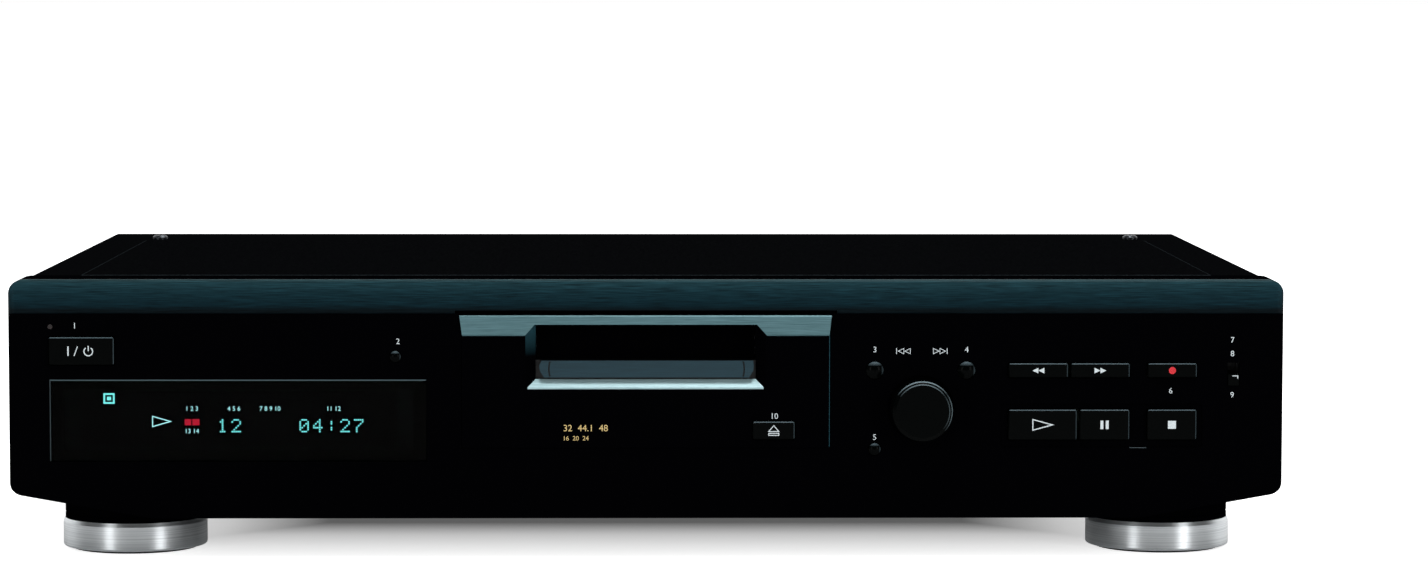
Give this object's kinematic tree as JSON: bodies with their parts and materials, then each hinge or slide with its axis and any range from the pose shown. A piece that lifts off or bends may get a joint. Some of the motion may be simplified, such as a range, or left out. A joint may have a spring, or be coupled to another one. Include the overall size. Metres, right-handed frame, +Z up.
{
  "type": "minidisc deck",
  "caption": "Full-width hi-fi deck with a disc slot behind a spring flap, display, keys, push-and-turn dial and silver-ringed feet.",
  "frame": {"origin": "on the floor, under the middle of the whole deck", "axes": "+X to the right as seen from the front, +Y to the back, +Z up"},
  "size_m": [0.43, 0.285, 0.0959],
  "materials": {
    "black_abs": "satin black moulded ABS",
    "black_acrylic": "polished black acrylic",
    "band_alu": "dark anodised aluminium, brushed lengthways",
    "trim_alu": "clear anodised aluminium, brushed lengthways",
    "lip_alu": "dark anodised aluminium, brushed lengthways",
    "key_abs": "fine textured black ABS",
    "lamp_red": "dark red tinted epoxy",
    "tube_glass": "dark glass envelope",
    "board_epoxy": "green solder-masked glass epoxy",
    "dark_moulding": "moulded black polyester",
    "cover_paint": "black powder coat on steel sheet",
    "zinc_steel": "zinc-plated steel",
    "foot_silver": "turned aluminium",
    "pad_rubber": "soft black rubber",
    "winding": "varnished polyester tape over copper",
    "core_iron": "varnished silicon-steel laminations",
    "flat_cable": "polyester flat cable",
    "pom_white": "acetal",
    "brass_gear": "sintered brass",
    "alu_fins": "extruded aluminium",
    "nickel_shell": "nickel-plated brass"
  },
  "bodies": {
    "case": {"front_panel": "black_abs", "brushed_band": "band_alu", "slot_plate": "black_acrylic", "slot_bezel": "trim_alu", "slot_sill": "trim_alu", "slot_lip": "lip_alu", "display_window": "black_acrylic", "standby_lamp": "lamp_red", "encoder_body": "zinc_steel", "input_switch": "zinc_steel", "tact_switches": "dark_moulding", "front_boards": "board_epoxy", "display_tube": "tube_glass", "chassis_base": "cover_paint", "rear_panel": "cover_paint", "top_cover": "cover_paint", "case_screws": "zinc_steel", "foot_rings": "foot_silver", "foot_cores": "black_abs", "foot_pads": "pad_rubber", "main_board": "board_epoxy", "board_parts": "dark_moulding", "heat_sink": "alu_fins", "transformer_core": "core_iron", "transformer_coil": "winding", "ribbon_cables": "flat_cable", "jack_block": "dark_moulding", "jack_shells": "nickel_shell", "optical_sockets": "dark_moulding", "cord_gland": "pad_rubber", "drive_bracket": "zinc_steel", "drive_dampers": "pad_rubber", "drive_base": "zinc_steel", "drive_motors": "zinc_steel", "guide_rods": "zinc_steel"},
    "dial": {"dial_knob": "key_abs", "encoder_shaft": "zinc_steel"},
    "dial_plunger": {"encoder_plunger": "zinc_steel"},
    "input_slider": {"input_lever": "key_abs"},
    "flap": {"slot_flap": "black_acrylic"},
    "cam_slider": {"loading_slider": "pom_white"},
    "holder": {"disc_holder": "zinc_steel"},
    "cam_gear": {"loading_gear": "pom_white"},
    "motor_pinion": {"loading_pinion": "brass_gear"},
    "spindle": {"spindle_table": "dark_moulding"},
    "sled": {"pickup_sled": "dark_moulding"},
    "feed_screw": {"lead_screw": "zinc_steel"},
    "recording_arm": {"head_arm": "zinc_steel"},
    "power_key_cap": {"power_key": "key_abs"},
    "scroll_key_cap": {"scroll_key": "key_abs"},
    "eject_key_cap": {"eject_key": "key_abs"},
    "menu_key_cap": {"menu_key": "key_abs"},
    "yes_key_cap": {"yes_key": "key_abs"},
    "clear_key_cap": {"clear_key": "key_abs"},
    "rewind_key_cap": {"rewind_key": "key_abs"},
    "forward_key_cap": {"forward_key": "key_abs"},
    "record_key_cap": {"record_key": "key_abs"},
    "play_key_cap": {"play_key": "key_abs"},
    "pause_key_cap": {"pause_key": "key_abs"},
    "stop_key_cap": {"stop_key": "key_abs"}
  },
  "joints": [
    {"name": "power_press", "type": "slide", "parent": "case", "child": "power_key_cap", "axis": [0, 1, 0], "range_m": [0, 0.0008], "stiffness_N_per_m": 1500, "springref_m": -0.0003},
    {"name": "scroll_press", "type": "slide", "parent": "case", "child": "scroll_key_cap", "axis": [0, 1, 0], "range_m": [0, 0.0008], "stiffness_N_per_m": 1500, "springref_m": -0.0003},
    {"name": "eject_press", "type": "slide", "parent": "case", "child": "eject_key_cap", "axis": [0, 1, 0], "range_m": [0, 0.0008], "stiffness_N_per_m": 1500, "springref_m": -0.0003},
    {"name": "menu_press", "type": "slide", "parent": "case", "child": "menu_key_cap", "axis": [0, 1, 0], "range_m": [0, 0.0008], "stiffness_N_per_m": 1500, "springref_m": -0.0003},
    {"name": "yes_press", "type": "slide", "parent": "case", "child": "yes_key_cap", "axis": [0, 1, 0], "range_m": [0, 0.0008], "stiffness_N_per_m": 1500, "springref_m": -0.0003},
    {"name": "clear_press", "type": "slide", "parent": "case", "child": "clear_key_cap", "axis": [0, 1, 0], "range_m": [0, 0.0008], "stiffness_N_per_m": 1500, "springref_m": -0.0003},
    {"name": "rewind_press", "type": "slide", "parent": "case", "child": "rewind_key_cap", "axis": [0, 1, 0], "range_m": [0, 0.0008], "stiffness_N_per_m": 1500, "springref_m": -0.0003},
    {"name": "forward_press", "type": "slide", "parent": "case", "child": "forward_key_cap", "axis": [0, 1, 0], "range_m": [0, 0.0008], "stiffness_N_per_m": 1500, "springref_m": -0.0003},
    {"name": "record_press", "type": "slide", "parent": "case", "child": "record_key_cap", "axis": [0, 1, 0], "range_m": [0, 0.0008], "stiffness_N_per_m": 1500, "springref_m": -0.0003},
    {"name": "play_press", "type": "slide", "parent": "case", "child": "play_key_cap", "axis": [0, 1, 0], "range_m": [0, 0.0008], "stiffness_N_per_m": 1500, "springref_m": -0.0003},
    {"name": "pause_press", "type": "slide", "parent": "case", "child": "pause_key_cap", "axis": [0, 1, 0], "range_m": [0, 0.0008], "stiffness_N_per_m": 1500, "springref_m": -0.0003},
    {"name": "stop_press", "type": "slide", "parent": "case", "child": "stop_key_cap", "axis": [0, 1, 0], "range_m": [0, 0.0008], "stiffness_N_per_m": 1500, "springref_m": -0.0003},
    {"name": "dial_push", "type": "slide", "parent": "case", "child": "dial_plunger", "axis": [0, 1, 0], "range_m": [0, 0.0005], "stiffness_N_per_m": 2000, "springref_m": -0.0003},
    {"name": "dial_turn", "type": "hinge", "parent": "dial_plunger", "child": "dial", "pos_m": [0.0923, -0.132, 0.0513], "axis": [0, -1, 0], "continuous": true},
    {"name": "input_select", "type": "slide", "parent": "case", "child": "input_slider", "axis": [0, 0, 1], "range_m": [0, 0.0038]},
    {"name": "flap_swing", "type": "hinge", "parent": "case", "child": "flap", "pos_m": [-0.0006, -0.1218, 0.0806], "axis": [1, 0, 0], "range_deg": [0, 75], "stiffness_Nm_per_rad": 0.002, "springref_deg": -17.19},
    {"name": "loading_slide", "type": "slide", "parent": "case", "child": "cam_slider", "axis": [0, 1, 0], "range_m": [0, 0.012]},
    {"name": "holder_drop", "type": "slide", "parent": "case", "child": "holder", "axis": [0, 0, -1], "range_m": [0, 0.005]},
    {"name": "cam_gear_turn", "type": "hinge", "parent": "case", "child": "cam_gear", "pos_m": [-0.037, -0.019, 0.065], "axis": [0, 0, -1], "range_deg": [0, 107.5]},
    {"name": "pinion_turn", "type": "hinge", "parent": "case", "child": "motor_pinion", "pos_m": [-0.023, -0.019, 0.0595], "axis": [0, 0, 1], "range_deg": [0, 269]},
    {"name": "spindle_turn", "type": "hinge", "parent": "case", "child": "spindle", "pos_m": [-0.0006, -0.0732, 0.061], "axis": [0, 0, 1], "continuous": true},
    {"name": "sled_feed", "type": "slide", "parent": "case", "child": "sled", "axis": [1, 0, 0], "range_m": [0, 0.017]},
    {"name": "feed_screw_turn", "type": "hinge", "parent": "case", "child": "feed_screw", "pos_m": [-0.0006, -0.0465, 0.0593], "axis": [1, 0, 0], "continuous": true},
    {"name": "head_lower", "type": "hinge", "parent": "sled", "child": "recording_arm", "pos_m": [0.0139, -0.0352, 0.0776], "axis": [1, 0, 0], "range_deg": [0, 9], "stiffness_Nm_per_rad": 0.01, "springref_deg": -17.19}
  ],
  "couplings": [
    {"joint": "holder_drop", "follows": "loading_slide", "ratio": 0.41666},
    {"joint": "cam_gear_turn", "follows": "loading_slide", "rad_per_m": 156.25},
    {"joint": "pinion_turn", "follows": "loading_slide", "rad_per_m": 390.62},
    {"joint": "feed_screw_turn", "follows": "sled_feed", "rad_per_m": 3141.6}
  ]
}
